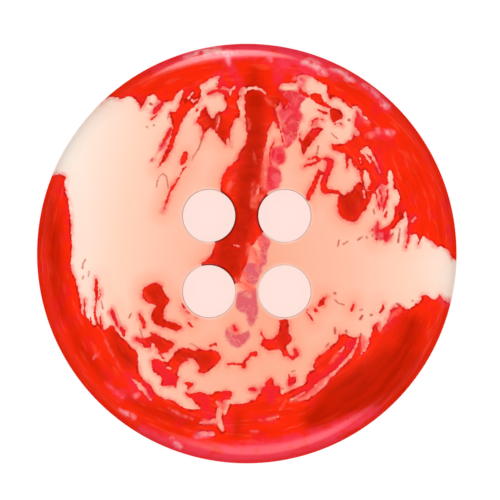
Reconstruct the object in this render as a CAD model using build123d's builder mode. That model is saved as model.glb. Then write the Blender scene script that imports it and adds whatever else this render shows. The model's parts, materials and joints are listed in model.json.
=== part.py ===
from math import sqrt
import os

from build123d import *

# Four-hole sewing button, turned from one piece of cast resin and tumble polished.
# Millimetres. The button lies on its flat back: the origin is the centre of the back
# face, +Z points out of the domed front, and the four thread holes stand square to X and Y.

# Blank
outer_diameter = 20.0
centre_thickness = 3.6

# Front: one shallow dome that runs out into a rounded rim
crown_rise = 1.3  # fall of the dome from its top to the full radius, were there no rim round
rim_round = 1.2

# Back: flat, with a smaller round at its edge
back_round = 0.6

# Thread holes
hole_diameter = 2.5
hole_pitch = 3.6  # centre to centre, along X and along Y
mouth_bevel = 0.14  # breaks the edge at both ends of each hole, so that it can't cut the thread

outer_radius = outer_diameter / 2

# The dome is part of a sphere, and the rim round touches both it and the straight side.
dome_radius = (outer_radius**2 + crown_rise**2) / (2 * crown_rise)
dome_centre_z = centre_thickness - dome_radius
rim_centre_r = outer_radius - rim_round
rim_centre_z = dome_centre_z + sqrt((dome_radius - rim_round) ** 2 - rim_centre_r**2)

# The dome meets the rim round on the line through both centres.
reach = dome_radius / (dome_radius - rim_round)
dome_edge = (rim_centre_r * reach, dome_centre_z + (rim_centre_z - dome_centre_z) * reach)

with BuildPart() as button:
    # Half section of the turned blank, spun about Z
    with BuildSketch(Plane.XZ):
        with BuildLine():
            back_face = Line((0, 0), (outer_radius - back_round, 0))
            back_edge = RadiusArc(back_face @ 1, (outer_radius, back_round), -back_round)
            side = Line(back_edge @ 1, (outer_radius, rim_centre_z))
            rim = RadiusArc(side @ 1, dome_edge, -rim_round)
            dome = RadiusArc(rim @ 1, (0, centre_thickness), -dome_radius)
            Line(dome @ 1, (0, 0))
        make_face()
    revolve(axis=Axis.Z)

    # Four thread holes, drilled straight through from the front
    with Locations(Plane.XY.offset(centre_thickness)):
        with GridLocations(hole_pitch, hole_pitch, 2, 2):
            Hole(radius=hole_diameter / 2)

    # Both mouths of each hole: in front the bevel follows the dome
    hole_walls = button.faces().filter_by(
        lambda face: face.geom_type == GeomType.CYLINDER and face.radius < outer_radius / 2
    )
    mouths = hole_walls.edges().filter_by(GeomType.LINE, reverse=True)
    chamfer(mouths, length=mouth_bevel)

button.part.label = "button"

os.makedirs("parts", exist_ok=True)
export_step(button.part, "parts/button.step")
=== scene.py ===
import json
from math import asin, cos, hypot, pi, radians, sin, sqrt

import bmesh
import bpy
import numpy as np
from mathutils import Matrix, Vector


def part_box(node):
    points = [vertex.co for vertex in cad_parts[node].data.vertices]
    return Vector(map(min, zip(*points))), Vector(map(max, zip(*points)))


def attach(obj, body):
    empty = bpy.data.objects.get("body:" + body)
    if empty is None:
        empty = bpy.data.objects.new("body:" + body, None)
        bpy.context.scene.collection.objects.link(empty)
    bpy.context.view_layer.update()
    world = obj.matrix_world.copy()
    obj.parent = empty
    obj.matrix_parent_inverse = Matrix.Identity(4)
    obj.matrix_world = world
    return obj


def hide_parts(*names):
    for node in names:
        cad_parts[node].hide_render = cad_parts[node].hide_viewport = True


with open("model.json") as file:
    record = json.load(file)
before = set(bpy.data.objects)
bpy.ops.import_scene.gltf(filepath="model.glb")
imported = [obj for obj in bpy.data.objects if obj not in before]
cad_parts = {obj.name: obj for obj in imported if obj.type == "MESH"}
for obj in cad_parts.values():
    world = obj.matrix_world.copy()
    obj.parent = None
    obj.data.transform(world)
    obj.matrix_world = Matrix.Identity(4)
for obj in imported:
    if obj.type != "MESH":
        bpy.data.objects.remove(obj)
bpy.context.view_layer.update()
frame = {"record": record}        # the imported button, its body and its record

mm = 0.001

# Marbling, read off: millimetres from the button's centre, +Y up

# closed outlines of the red
redPools = {
    "topMass": [
        (-7.1, 7.05), (-6.6, 7.48), (-6.2, 7.44), (-5.95, 7.33), (-5.75, 7.46), (-5.5, 7.5), (-5.25, 7.28),
        (-5.12, 7.05), (-5.05, 6.88), (-4.93, 7.03), (-4.78, 7.3), (-4.7, 7.48), (-4.4, 7.58),
        (-4.28, 7.42), (-4.2, 7.3), (-3.99, 7.18), (-3.84, 7.21), (-3.55, 7.25), (-3.43, 7.44),
        (-3.29, 7.64), (-3.03, 7.82), (-3.05, 7.6), (-3.18, 7.32), (-3.25, 7.14), (-3.25, 6.88),
        (-3.32, 6.77), (-3.5, 6.73), (-3.64, 6.78), (-3.69, 6.66), (-3.62, 6.4), (-3.5, 6.1), (-3.3, 5.95),
        (-3.14, 6.1), (-3.03, 6.4), (-2.73, 6.77), (-2.64, 6.9), (-2.51, 6.95), (-2.36, 7.14),
        (-2.29, 7.29), (-2.14, 7.44), (-2.18, 7.73), (-2.21, 7.95), (-2.18, 8.06), (-1.95, 8.14),
        (-1.81, 8.29), (-1.62, 8.36), (-1.36, 8.47), (-1.29, 8.4), (-1.36, 8.21), (-1.4, 8.03),
        (-1.5, 7.9), (-1.2, 7.85), (-1.03, 7.6), (-1.08, 7.3), (-0.97, 7.18), (-1.01, 6.95), (-1.08, 6.77),
        (-1.4, 6.75), (-1.55, 6.47), (-1.66, 6.44), (-1.84, 6.66), (-1.94, 6.95), (-2.02, 6.98),
        (-2.18, 6.77), (-2.27, 6.58), (-2.38, 6.4), (-2.47, 6.21), (-2.34, 6.18), (-2.21, 6.1),
        (-2.14, 5.95), (-2.12, 5.66), (-2.14, 5.45), (-1.95, 5.77), (-1.84, 5.92), (-1.66, 5.99),
        (-1.55, 5.84), (-1.44, 5.7), (-1.33, 5.51), (-1.18, 5.4), (-1.07, 5.29), (-0.99, 5.12),
        (-0.95, 5.33), (-0.9, 5.58), (-0.84, 5.36), (-0.79, 5.05), (-0.77, 5.29), (-0.79, 5.66),
        (-0.77, 5.92), (-0.66, 6.18), (-0.58, 6.36), (-0.44, 6.47), (-0.34, 6.4), (-0.33, 6.62),
        (-0.34, 6.92), (-0.44, 7.14), (-0.4, 7.36), (-0.2, 7.55), (-0.12, 7.51), (-0.08, 7.14),
        (-0.1, 6.77), (-0.08, 6.4), (-0.04, 5.84), (0.04, 5.77), (0, 5.51), (-0.08, 5.21), (-0.25, 4.96),
        (-0.4, 4.73), (-0.47, 4.47), (-0.7, 4.27), (-0.99, 4.03), (-1.1, 3.8), (-1.21, 3.51),
        (-1.25, 3.25), (-1.25, 2.95), (-1.2, 2.5), (-0.9, 1.8), (-1.2, 1), (-1.5, 0.6), (-1.53, 0.45),
        (-1.62, 0.19), (-1.73, -0.07), (-1.84, -0.29), (-2.14, -0.4), (-2.18, -0.56), (-1.9, -0.9),
        (-1, -1.2), (-0.6, -1.5), (-0.51, -1.44), (-0.35, -1.4), (-0.29, -1.07), (-0.14, -0.88),
        (-0.06, -0.62), (0.04, -0.35), (0.1, -0.18), (0.12, 0.16), (0.2, 0.38), (0.4, 0.45), (0.52, 0.7),
        (0.9, 1.2), (0.8, 2), (1, 2.6), (0.98, 2.95), (0.85, 3.2), (0.8, 3.6), (0.85, 4), (0.78, 4.4),
        (0.84, 4.92), (0.92, 5.18), (0.99, 5.51), (1.03, 5.84), (1.14, 6.1), (1.29, 6.29), (1.4, 6.14),
        (1.47, 5.92), (1.55, 6.1), (1.55, 6.3), (1.47, 6.58), (1.36, 6.84), (1.5, 7), (1.6, 7.3),
        (1.65, 7.6), (1.5, 7.85), (1.62, 8.07), (1.99, 8.12), (2.32, 8.08), (2.45, 8.2), (2.4, 8.47),
        (2.81, 8.5), (3.03, 8.45), (3.25, 8.28), (3.51, 8.13), (3.82, 8), (3.8, 7.85), (3.84, 7.58),
        (3.99, 7.29), (4.06, 7.44), (4.21, 7.46), (4.47, 7.36), (4.65, 7.18), (4.8, 7.03), (4.99, 6.88),
        (5.14, 6.99), (5.3, 7), (5.2, 6.6), (5.14, 6.36), (5.08, 6.1), (5.25, 5.95), (5.44, 5.64),
        (5.2, 5.6), (5.07, 5.66), (4.99, 5.47), (4.88, 5.36), (4.65, 5.25), (4.43, 5.2), (4.17, 5.21),
        (4.03, 5.29), (4.03, 5.07), (4.1, 4.92), (4.32, 4.84), (4.51, 4.81), (4.69, 4.77), (4.75, 4.5),
        (4.95, 4.55), (5.1, 4.3), (5.2, 4.08), (5.36, 3.92), (5.44, 3.69), (5.44, 3.45), (5.5, 3.2),
        (5.66, 2.99), (5.92, 3), (5.95, 2.8), (6.1, 2.9), (6.3, 3.2), (6.45, 3.35), (6.6, 3.2),
        (6.75, 3.3), (6.72, 3.6), (6.72, 3.8), (6.81, 4), (6.92, 3.88), (6.97, 3.51), (6.98, 3.03),
        (7.1, 3.03), (7.25, 2.88), (7.27, 2.58), (7.21, 2.36), (7.06, 2.29), (7.02, 2.1), (7, 1.6),
        (7.15, 1.4), (7.3, 1.55), (7.45, 1.6), (7.5, 2), (7.56, 2.1), (7.62, 1.8), (7.66, 1.4),
        (7.62, 1.1), (7.7, 0.9), (7.85, 0.85), (7.95, 0.95), (8.1, 0.9), (8.2, 0.7), (8.4, 0.84),
        (8.58, 0.7), (8.77, 0.62), (8.9, 0.51), (8.92, 0.33), (9.21, 0.33), (9.51, 0.25), (9.62, 0.1),
        (9.69, -0.12), (9.9, -0.3), (10.6, -0.4), (10.6, 4.5), (7.5, 8.2), (3.5, 10.2), (-0.5, 10.8),
        (-4.5, 9.8), (-7.8, 7.4),
    ],
    "bottomMass": [
        (-10.6, 3.6), (-9.4, 3.7), (-9.12, 3.74), (-8.99, 3.79), (-8.77, 3.77), (-8.62, 3.66),
        (-8.62, 3.51), (-8.66, 3.32), (-8.64, 3.03), (-8.58, 2.81), (-8.49, 2.58), (-8.43, 2.21),
        (-8.38, 1.8), (-8.36, 1.03), (-8.34, 0.66), (-8.3, 0.21), (-8.34, -0.1), (-8.38, -0.66),
        (-8.29, -0.88), (-8.19, -1.1), (-8.1, -1.4), (-8.03, -1.69), (-7.95, -1.99), (-7.9, -2.3),
        (-7.86, -2.8), (-7.75, -3), (-7.5, -3.05), (-7.4, -3.3), (-7.27, -3.43), (-7.1, -3.3),
        (-6.95, -3.4), (-6.84, -3.55), (-6.77, -3.66), (-6.58, -3.47), (-6.47, -3.4), (-6.36, -3.4),
        (-6.29, -3.51), (-6.18, -3.73), (-6.03, -3.88), (-5.84, -4.06), (-5.62, -4.25), (-5.47, -4.47),
        (-5.29, -4.62), (-5.18, -4.77), (-5.18, -5.14), (-5.16, -5.44), (-5.1, -5.7), (-4.99, -5.92),
        (-4.81, -6.1), (-4.6, -6.2), (-4.5, -6.3), (-4.47, -6.47), (-4.36, -6.66), (-4.14, -6.81),
        (-3.92, -6.92), (-3.62, -6.95), (-3.43, -7.03), (-3.25, -7.21), (-3.03, -7.32), (-2.73, -7.4),
        (-2.44, -7.42), (-2.15, -7.4), (-2.44, -7.14), (-2.58, -6.95), (-2.81, -6.81), (-2.95, -6.62),
        (-2.73, -6.64), (-2.51, -6.66), (-2.36, -6.58), (-2.07, -6.62), (-1.88, -6.71), (-1.66, -6.7),
        (-1.51, -6.53), (-1.18, -6.55), (-0.88, -6.51), (-0.7, -6.58), (-0.7, -6.77), (-0.84, -6.99),
        (-0.7, -7.18), (-0.47, -7.16), (-0.21, -7.14), (0.01, -7.08), (0.23, -6.99), (0.44, -6.92),
        (0.51, -6.68), (0.66, -6.64), (0.66, -6.51), (0.81, -6.32), (0.88, -6.14), (0.99, -6.03),
        (1.14, -5.88), (1.29, -5.99), (1.25, -6.14), (1.4, -6.29), (1.55, -6.29), (1.62, -6.47),
        (1.62, -6.62), (1.73, -6.68), (1.92, -6.62), (2.06, -6.51), (2.29, -6.42), (2.55, -6.32),
        (2.77, -6.18), (2.84, -5.99), (2.8, -5.84), (2.92, -5.7), (3.03, -5.58), (3.22, -5.5),
        (3.1, -5.36), (3.21, -5.18), (3.29, -4.99), (3.47, -4.84), (3.77, -4.66), (3.99, -4.4),
        (4.29, -4.17), (4.4, -3.91), (4.62, -3.8), (4.77, -3.84), (4.99, -3.95), (5.2, -4), (5.35, -3.95),
        (5.44, -3.99), (5.47, -4.32), (5.51, -4.69), (5.66, -4.62), (5.77, -4.36), (5.84, -4.03),
        (5.92, -3.77), (5.99, -3.55), (6.07, -3.36), (6.21, -3.25), (6.32, -3.32), (6.25, -3.55),
        (6.32, -3.73), (6.44, -3.66), (6.51, -3.43), (6.62, -3.32), (6.73, -3.1), (6.81, -2.84),
        (6.81, -2.66), (6.99, -2.58), (7.18, -2.51), (7.32, -2.47), (7.47, -2.58), (7.66, -2.66),
        (7.84, -2.58), (7.99, -2.43), (8.18, -2.32), (8.32, -2.18), (8.32, -2.03), (8.43, -1.94),
        (8.62, -1.95), (8.73, -2.14), (8.92, -2.21), (9.06, -2.06), (9.17, -1.94), (9.25, -1.99),
        (9.29, -2.14), (9.47, -2.29), (9.66, -2.36), (9.9, -2.5), (10.6, -2.7), (8.8, -6.3), (5, -9.5),
        (0, -10.7), (-5.5, -9.3), (-9.5, -5), (-10.8, 0),
    ],
    "boot": [
        (-4.99, -1.81), (-4.91, -1.62), (-4.69, -1.47), (-4.36, -1.36), (-4.14, -1.42), (-3.99, -1.62),
        (-3.92, -1.88), (-3.8, -1.99), (-3.69, -2.14), (-3.71, -2.32), (-3.84, -2.47), (-3.95, -2.73),
        (-3.97, -2.95), (-3.88, -3.17), (-3.62, -3.25), (-3.32, -3.32), (-3.14, -3.43), (-3.08, -3.56),
        (-3.29, -3.69), (-3.43, -3.69), (-3.66, -3.58), (-3.99, -3.51), (-4.29, -3.4), (-4.51, -3.21),
        (-4.55, -2.95), (-4.53, -2.77), (-4.36, -2.55), (-4.29, -2.47), (-4.47, -2.4), (-4.73, -2.36),
        (-4.88, -2.25), (-4.97, -2.06),
    ],
    "slab": [
        (-4.58, -3.73), (-4.36, -3.8), (-3.99, -3.99), (-3.69, -4.14), (-3.4, -4.21), (-3.51, -4.43),
        (-3.62, -4.58), (-3.95, -4.77), (-4.1, -4.73), (-4.21, -4.58), (-4.51, -4.25), (-4.77, -4.03),
        (-4.73, -3.95), (-4.58, -3.91),
    ],
    "slabSide": [
        (-5.4, -4), (-5.2, -3.95), (-4.95, -4.05), (-4.75, -3.95), (-4.5, -4.3), (-4.55, -4.5),
        (-4.8, -4.52), (-5, -4.3), (-5.25, -4.18),
    ],
    "claw": [
        (-3.36, -4.62), (-3.25, -4.53), (-2.81, -4.47), (-2.69, -4.53), (-2.51, -4.62), (-2.25, -4.51),
        (-1.95, -4.59), (-1.55, -4.55), (-1.33, -4.7), (-1.18, -4.88), (-1.33, -5.14), (-1.44, -5.33),
        (-1.66, -5.47), (-1.95, -5.7), (-2.18, -5.7), (-2.36, -5.62), (-2.21, -5.47), (-2.29, -5.33),
        (-2.47, -5.1), (-2.58, -4.96), (-2.88, -4.97), (-2.73, -5.1), (-3.03, -5.21), (-3.14, -5.29),
        (-3.25, -5.51), (-3.29, -5.77), (-3.18, -5.88), (-3.29, -5.99), (-3.32, -6.21), (-3.4, -6.42),
        (-3.47, -6.25), (-3.73, -6.25), (-3.99, -6.32), (-4.1, -6.21), (-4.03, -5.99), (-4.1, -5.84),
        (-4.36, -5.7), (-4.51, -5.55), (-4.51, -5.25), (-4.56, -5.07), (-4.36, -4.99), (-4.03, -5.1),
        (-3.84, -5.14), (-3.66, -5.03), (-3.55, -4.88), (-3.43, -4.73),
    ],
    "fish": [
        (1.51, -3.14), (1.55, -3.32), (1.53, -3.55), (1.47, -3.77), (1.36, -3.95), (1.18, -4.06),
        (0.99, -4.06), (0.84, -3.99), (0.75, -3.84), (0.7, -3.69), (0.64, -3.73), (0.68, -3.91),
        (0.81, -4.06), (0.7, -4.25), (0.66, -4.36), (0.81, -4.47), (0.99, -4.62), (1.18, -4.66),
        (1.36, -4.55), (1.62, -4.58), (1.69, -4.77), (1.77, -4.92), (1.95, -4.88), (1.99, -4.73),
        (1.88, -4.55), (1.84, -4.4), (1.99, -4.29), (2.14, -4.14), (2.14, -3.99), (2.03, -3.81),
        (2.01, -3.55), (2.01, -3.29), (1.97, -3.12),
    ],
    "bean": [
        (4.36, 2.88), (4.32, 2.51), (4.29, 2.29), (4.32, 1.99), (4.47, 1.73), (4.66, 1.58), (4.95, 1.49),
        (5.29, 1.55), (5.4, 1.77), (5.47, 1.95), (5.66, 2.03), (5.77, 2.32), (5.88, 2.51), (5.95, 2.81),
        (5.92, 3.03), (5.66, 2.99), (5.51, 3.25), (5.44, 3.47), (5.14, 3.25), (4.99, 2.95), (4.77, 2.88),
        (4.55, 2.7),
    ],
    "wing": [
        (3.43, 6.03), (3.69, 5.92), (3.51, 5.77), (3.32, 5.55), (3.1, 5.25), (2.95, 5.07), (2.77, 4.77),
        (2.69, 4.64), (2.62, 4.77), (2.58, 5.03), (2.55, 5.33), (2.49, 5.58), (2.62, 5.4), (2.73, 5.44),
        (2.84, 5.66), (2.99, 5.84), (3.14, 5.99),
    ],
    "band": [
        (2.99, 7.55), (3.25, 7.67), (3.51, 7.58), (3.55, 7.44), (3.69, 7.25), (3.99, 7.03), (4.21, 6.88),
        (3.95, 6.85), (3.6, 7.03), (3.4, 7.1), (3.21, 7.25), (2.99, 7.4),
    ],
    "bud": [
        (3.95, 6.88), (4.21, 6.95), (4.43, 6.84), (4.58, 6.62), (4.55, 6.4), (4.36, 6.36), (4.17, 6.21),
        (4.06, 6.25), (3.99, 6.44), (3.95, 6.66),
    ],
    "speck": [
        (1.99, -5.7), (1.95, -5.92), (1.95, -6.36), (2.14, -6.29), (2.32, -6.14), (2.36, -6.03),
        (2.29, -5.84), (2.14, -5.88), (2.05, -5.77),
    ],
}

# cream that cuts into the red: strokes of (x, y, width)
creamStrokes = [
    # top left and centre
    [(-2.57, 7.66, 0.05), (-2.75, 7.42, 0.08), (-2.85, 7.25, 0.08)],
    [(-2.62, 7.3, 0.08), (-2.88, 7.03, 0.1), (-3.01, 6.81, 0.1)],
    [(-2.35, 7.35, 0.05), (-2.55, 7.2, 0.06)],
    [(-1.15, 7.88, 0.08), (-0.92, 7.82, 0.12), (-0.8, 7.7, 0.16), (-0.78, 7.58, 0.06)],
    [(-0.55, 7.95, 0.06), (-0.7, 7.82, 0.12), (-0.8, 7.72, 0.12)],
    [(-0.15, 7.75, 0.3), (-0.3, 7.6, 0.2)],
    [(-0.1, 7.75, 0.1), (0.1, 7.86, 0.1), (0.4, 7.9, 0.1), (0.7, 7.8, 0.12), (0.86, 7.62, 0.08)],
    [(-1.3, 6.45, 0.05), (-1.33, 6.25, 0.07), (-1.42, 6, 0.04)],
    [(0.9, 4.95, 0.06), (0.88, 4.5, 0.12), (0.95, 4.2, 0.1)],
    [(0.9, 3.5, 0.06), (0.86, 3.25, 0.1), (0.92, 3.05, 0.08)],
    [(0.6, 3.2, 0.04), (0.53, 3, 0.08), (0.5, 2.85, 0.1)],
    [(0.22, 0.36, 0.06), (0.28, 0.12, 0.22), (0.38, -0.1, 0.3), (0.46, -0.3, 0.18), (0.42, -0.45, 0.06)],
    [(-0.6, 0.4, 0.04), (-0.46, 0.38, 0.07), (-0.33, 0.34, 0.04)],
    # along the rim, top right
    [(5.05, 6.95, 0.1), (5.3, 6.85, 0.16), (5.45, 6.6, 0.12), (5.72, 6.4, 0.04)],
    [
        (5.5, 4.85, 0.18), (5.7, 4.93, 0.3), (5.9, 4.72, 0.18), (6.05, 4.5, 0.13), (6.2, 4.2, 0.1),
        (6.34, 3.85, 0.05),
    ],
    [(5.62, 4.75, 0.1), (5.78, 4.5, 0.12), (5.88, 4.32, 0.06)],
    [(5.62, 3.95, 0.06), (5.68, 3.7, 0.28), (5.74, 3.4, 0.3), (5.7, 3.1, 0.12)],
    [(5.57, 2.98, 0.08), (5.6, 2.68, 0.1)],
    [(5.38, 4.55, 0.05), (5.42, 4.3, 0.06)],
    [(7.25, 2.15, 0.05), (7.28, 1.8, 0.06)],
    [(8.02, 1.72, 0.1), (7.88, 1.52, 0.12)],
    # below
    [(5.63, -3.95, 0.28), (5.62, -4.2, 0.26), (5.58, -4.5, 0.18), (5.45, -4.76, 0.05)],
    [
        (5.3, -4.05, 0.04), (5.22, -4.35, 0.08), (5.05, -4.7, 0.14), (4.85, -4.95, 0.16),
        (4.5, -5.32, 0.12), (4.15, -5.66, 0.14), (3.9, -5.88, 0.2), (3.65, -6.15, 0.3), (3.35, -6.4, 0.34),
        (3.1, -6.62, 0.26), (2.85, -6.85, 0.16), (2.5, -6.95, 0.08),
    ],
    [(4.62, -4.45, 0.05), (4.5, -4.62, 0.08), (4.38, -4.7, 0.05)],
    [(2.75, -6.6, 0.05), (2.45, -6.8, 0.16), (2.1, -6.95, 0.08)],
    [
        (-5.45, -6, 0.06), (-5.25, -6.15, 0.16), (-5.05, -6.35, 0.22), (-4.85, -6.55, 0.2),
        (-4.72, -6.78, 0.12), (-4.55, -6.98, 0.08),
    ],
    [(-0.8, -7.05, 0.2), (-1, -7.1, 0.3), (-1.02, -7.35, 0.24), (-1.05, -7.6, 0.12)],
    [(-1.45, -7.05, 0.1), (-1.25, -7.2, 0.22), (-1.22, -7.4, 0.16)],
    [
        (-1.25, -7.3, 0.2), (-1.3, -7.6, 0.26), (-1.34, -7.95, 0.26), (-1.25, -8.2, 0.26),
        (-1.15, -8.38, 0.18),
    ],
    [(-2.2, -8.05, 0.04), (-1.9, -8.02, 0.12), (-1.6, -7.98, 0.18), (-1.35, -7.95, 0.25)],
    [(-2.35, -8.68, 0.1), (-2.25, -8.6, 0.2), (-1.9, -8.58, 0.18), (-1.65, -8.58, 0.2)],
    [(0.98, -7.88, 0.06), (1.22, -7.84, 0.12), (1.5, -7.76, 0.04)],
    [(-3.78, -5.42, 0.05), (-3.62, -5.46, 0.07)],
    [(-7.1, -3.05, 0.03), (-7.08, -3.2, 0.05)],
]

# drips and flecks of red: strokes of (x, y, width)
redStrokes = [
    [(1.55, 7.5, 0.3), (1.8, 7.2, 0.35), (1.75, 6.95, 0.2)],
    [(0.12, 0.48, 0.08), (0.26, 0.22, 0.06), (0.42, 0.02, 0.05), (0.5, -0.35, 0.05)],
    [(-0.5, -1.35, 0.06), (-0.2, -1.36, 0.06), (0.08, -1.58, 0.06), (0.3, -1.75, 0.05)],
    [(-0.12, -0.9, 0.1), (-0.08, -1.2, 0.06), (0.1, -1.4, 0.04)],
    # top left
    [(-4.05, 7.12, 0.2), (-4.25, 6.92, 0.3), (-4.42, 6.7, 0.15)],
    [(-4.3, 6.6, 0.08), (-4.54, 6.38, 0.07)],
    [
        (-2.75, 7.1, 0.45), (-3.1, 6.75, 0.5), (-3.35, 6.35, 0.5), (-3.35, 5.95, 0.3), (-3.5, 5.5, 0.25),
        (-3.65, 5.1, 0.26), (-3.8, 4.75, 0.22), (-4, 4.4, 0.14), (-4.2, 4.12, 0.08),
    ],
    [(-3.62, 5.95, 0.1), (-3.78, 5.65, 0.16), (-3.95, 5.3, 0.12), (-4.05, 5.05, 0.06)],
    [(-2.3, 6.95, 0.06), (-2.42, 6.75, 0.08)],
    [(-2.93, 4.75, 0.28), (-2.98, 4.5, 0.3), (-3.1, 4.25, 0.12)],
    [
        (-2.88, 4.12, 0.08), (-3.03, 4.03, 0.08), (-3.12, 3.8, 0.07), (-3.25, 3.58, 0.07),
        (-3.36, 3.36, 0.08), (-3.49, 3.25, 0.12), (-3.56, 3.1, 0.15), (-3.66, 2.88, 0.12),
        (-3.77, 2.58, 0.1), (-3.92, 2.21, 0.08), (-3.99, 1.99, 0.04),
    ],
    [
        (-1.88, 7.58, 0.12), (-1.62, 7.69, 0.15), (-1.4, 7.77, 0.15), (-1.18, 7.73, 0.2),
        (-1.03, 7.55, 0.12), (-1.03, 7.36, 0.08),
    ],
    # top right
    [(2.55, 7.75, 0.2), (2.73, 7.58, 0.2), (2.95, 7.48, 0.15)],
    [(4.17, 6.18, 0.07), (4.4, 6.21, 0.06), (4.54, 6.12, 0.07)],
    [(3.35, 6.85, 0.05), (3.5, 6.78, 0.08), (3.65, 6.7, 0.12), (3.85, 6.7, 0.12)],
    [(2.97, 8.75, 0.08), (3.1, 8.5, 0.12), (3.35, 8.33, 0.18), (3.65, 8.25, 0.2), (3.85, 8.1, 0.15)],
    [(2.51, 5.7, 0.06), (2.52, 5.33, 0.06)],
    [(3.1, 6.1, 0.08), (3.13, 6.28, 0.1), (3.28, 6.4, 0.08), (3.45, 6.43, 0.06), (3.62, 6.38, 0.08)],
    [(2.72, 4.13, 0.1), (2.95, 4.22, 0.13), (3.25, 4.3, 0.18), (3.45, 4.42, 0.1)],
    [(2.92, 4.5, 0.06), (3.1, 4.52, 0.1), (3.3, 4.6, 0.15), (3.4, 4.45, 0.2)],
    [
        (3.55, 4.52, 0.08), (3.85, 4.5, 0.2), (4, 4.35, 0.35), (3.92, 4.05, 0.3), (3.75, 3.7, 0.32),
        (3.65, 3.3, 0.32), (3.68, 3, 0.3), (4, 2.95, 0.22), (4.35, 2.9, 0.18), (4.5, 2.75, 0.2),
    ],
    [
        (3.42, 4.02, 0.06), (3.42, 3.8, 0.2), (3.28, 3.45, 0.25), (3.12, 3.1, 0.27), (2.95, 2.75, 0.28),
        (2.9, 2.6, 0.2),
    ],
    [(3.45, 3.85, 0.2), (3.7, 3.78, 0.2)],
    [(4.8, 4.75, 0.2), (4.77, 4.4, 0.15), (4.77, 4.05, 0.08)],
    [(5.03, 4.32, 0.08), (5.18, 4.1, 0.08), (5.36, 3.92, 0.08), (5.45, 3.5, 0.08)],
    [(1.32, 5.38, 0.05), (1.25, 5.2, 0.1), (1.15, 5.02, 0.07)],
    [(1.5, 6.15, 0.1), (1.6, 5.85, 0.07), (1.68, 5.5, 0.06), (1.76, 5.1, 0.04)],
    [(1.12, 4.95, 0.06), (1.07, 4.6, 0.12), (1.15, 4.28, 0.08)],
    # right
    [(8.3, 0.95, 0.3), (8.22, 0.65, 0.12), (8.13, 0.4, 0.06)],
    [(7.75, 1.3, 0.25), (7.72, 0.9, 0.15), (7.66, 0.6, 0.12), (7.58, 0.28, 0.1)],
    [
        (7.2, 2.1, 0.3), (7.18, 1.75, 0.35), (7, 1.4, 0.3), (6.75, 1.2, 0.25), (6.5, 1.1, 0.2),
        (6.3, 1.12, 0.12),
    ],
    [(6.75, 1.15, 0.2), (6.62, 0.85, 0.25), (6.6, 0.6, 0.12)],
    [(6.65, 2, 0.1), (6.6, 1.8, 0.14)],
    [(6.14, 2.88, 0.07), (6.21, 2.58, 0.07), (6.29, 2.29, 0.07), (6.32, 2.07, 0.06)],
    [(6.7, 3.03, 0.12), (6.7, 2.73, 0.12), (6.58, 2.44, 0.12), (6.51, 2.21, 0.12), (6.47, 1.95, 0.08)],
    [(6.25, 3.15, 0.1), (6.4, 2.8, 0.08), (6.42, 2.45, 0.08)],
    [(6.22, 1.5, 0.06), (6.22, 1.2, 0.1), (6.2, 0.9, 0.06), (6.17, 0.65, 0.1)],
    [(5.97, 1.2, 0.08), (5.97, 1.08, 0.1)],
    # left fringe
    [(-7.73, -2.2, 0.1), (-7.72, -2.55, 0.08), (-7.73, -2.8, 0.1), (-7.68, -3.1, 0.15)],
    [(-7.45, -3, 0.06), (-7.42, -3.25, 0.12)],
    [
        (-7.16, -1.2, 0.08), (-7.16, -1.45, 0.18), (-7.17, -1.75, 0.22), (-7.13, -2, 0.14),
        (-7.18, -2.36, 0.1), (-7.23, -2.66, 0.12), (-7.23, -2.92, 0.12), (-7.14, -3.25, 0.15),
        (-7.1, -3.5, 0.2),
    ],
    [(-7.01, -1.69, 0.06), (-6.97, -1.99, 0.06), (-7.05, -2.21, 0.05)],
    [(-6.99, -3.03, 0.12), (-6.95, -3.32, 0.12), (-6.88, -3.6, 0.12)],
    [(-6.42, -2.6, 0.08), (-6.4, -2.85, 0.22), (-6.28, -3.15, 0.2), (-6.15, -3.45, 0.12)],
    [(-6, -3.5, 0.1), (-5.9, -3.68, 0.26), (-5.85, -3.88, 0.16)],
    [(-5.1, -2.87, 0.08), (-5.02, -3.1, 0.2), (-4.9, -3.3, 0.2), (-4.9, -3.52, 0.12)],
    # inside the ring
    [(-4.21, -4.69, 0.08), (-3.95, -4.99, 0.06)],
    [
        (-3.14, -2.36, 0.12), (-3.03, -2.55, 0.16), (-2.88, -2.8, 0.18), (-2.69, -3.06, 0.18),
        (-2.43, -3.1, 0.08),
    ],
    [(-2.75, -3.3, 0.1), (-2.62, -3.45, 0.12)],
    [(-1.75, -4.38, 0.08), (-1.5, -4.3, 0.14), (-1.42, -4.4, 0.1)],
    [
        (-0.9, -5.25, 0.1), (-0.66, -5.23, 0.1), (-0.44, -5.27, 0.1), (-0.25, -5.29, 0.12),
        (-0.14, -5.36, 0.22), (-0.07, -5.1, 0.14), (0.08, -4.96, 0.14), (0.23, -4.77, 0.18),
        (0.38, -4.77, 0.28),
    ],
    [(-2.9, -6.15, 0.15), (-2.68, -6.25, 0.25), (-2.78, -6.42, 0.12)],
    [(0.1, -6.45, 0.12), (0.3, -6.45, 0.22), (0.4, -6.5, 0.15)],
    [(2.3, -4.6, 0.2), (2.38, -4.8, 0.22), (2.2, -4.98, 0.18), (2, -4.85, 0.15), (1.85, -4.75, 0.25)],
    [(3.42, -2.48, 0.12), (3.58, -2.35, 0.28), (3.65, -2.15, 0.12), (3.8, -2.07, 0.05)],
    [(3.25, -2.58, 0.12), (3.3, -2.75, 0.12)],
    [(2.8, -2.65, 0.08), (2.95, -2.8, 0.1), (3.03, -3, 0.1), (3.15, -3.22, 0.06)],
    [(5.1, -2.4, 0.06), (5, -2.6, 0.14), (4.97, -2.75, 0.08)],
    [(6.5, -2.45, 0.1), (6.42, -2.7, 0.2), (6.32, -2.8, 0.14)],
    [(4.42, -3.8, 0.08), (4.38, -4, 0.1)],
    [(-0.62, -3.45, 0.12), (-0.55, -3.6, 0.2)],
]

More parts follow.
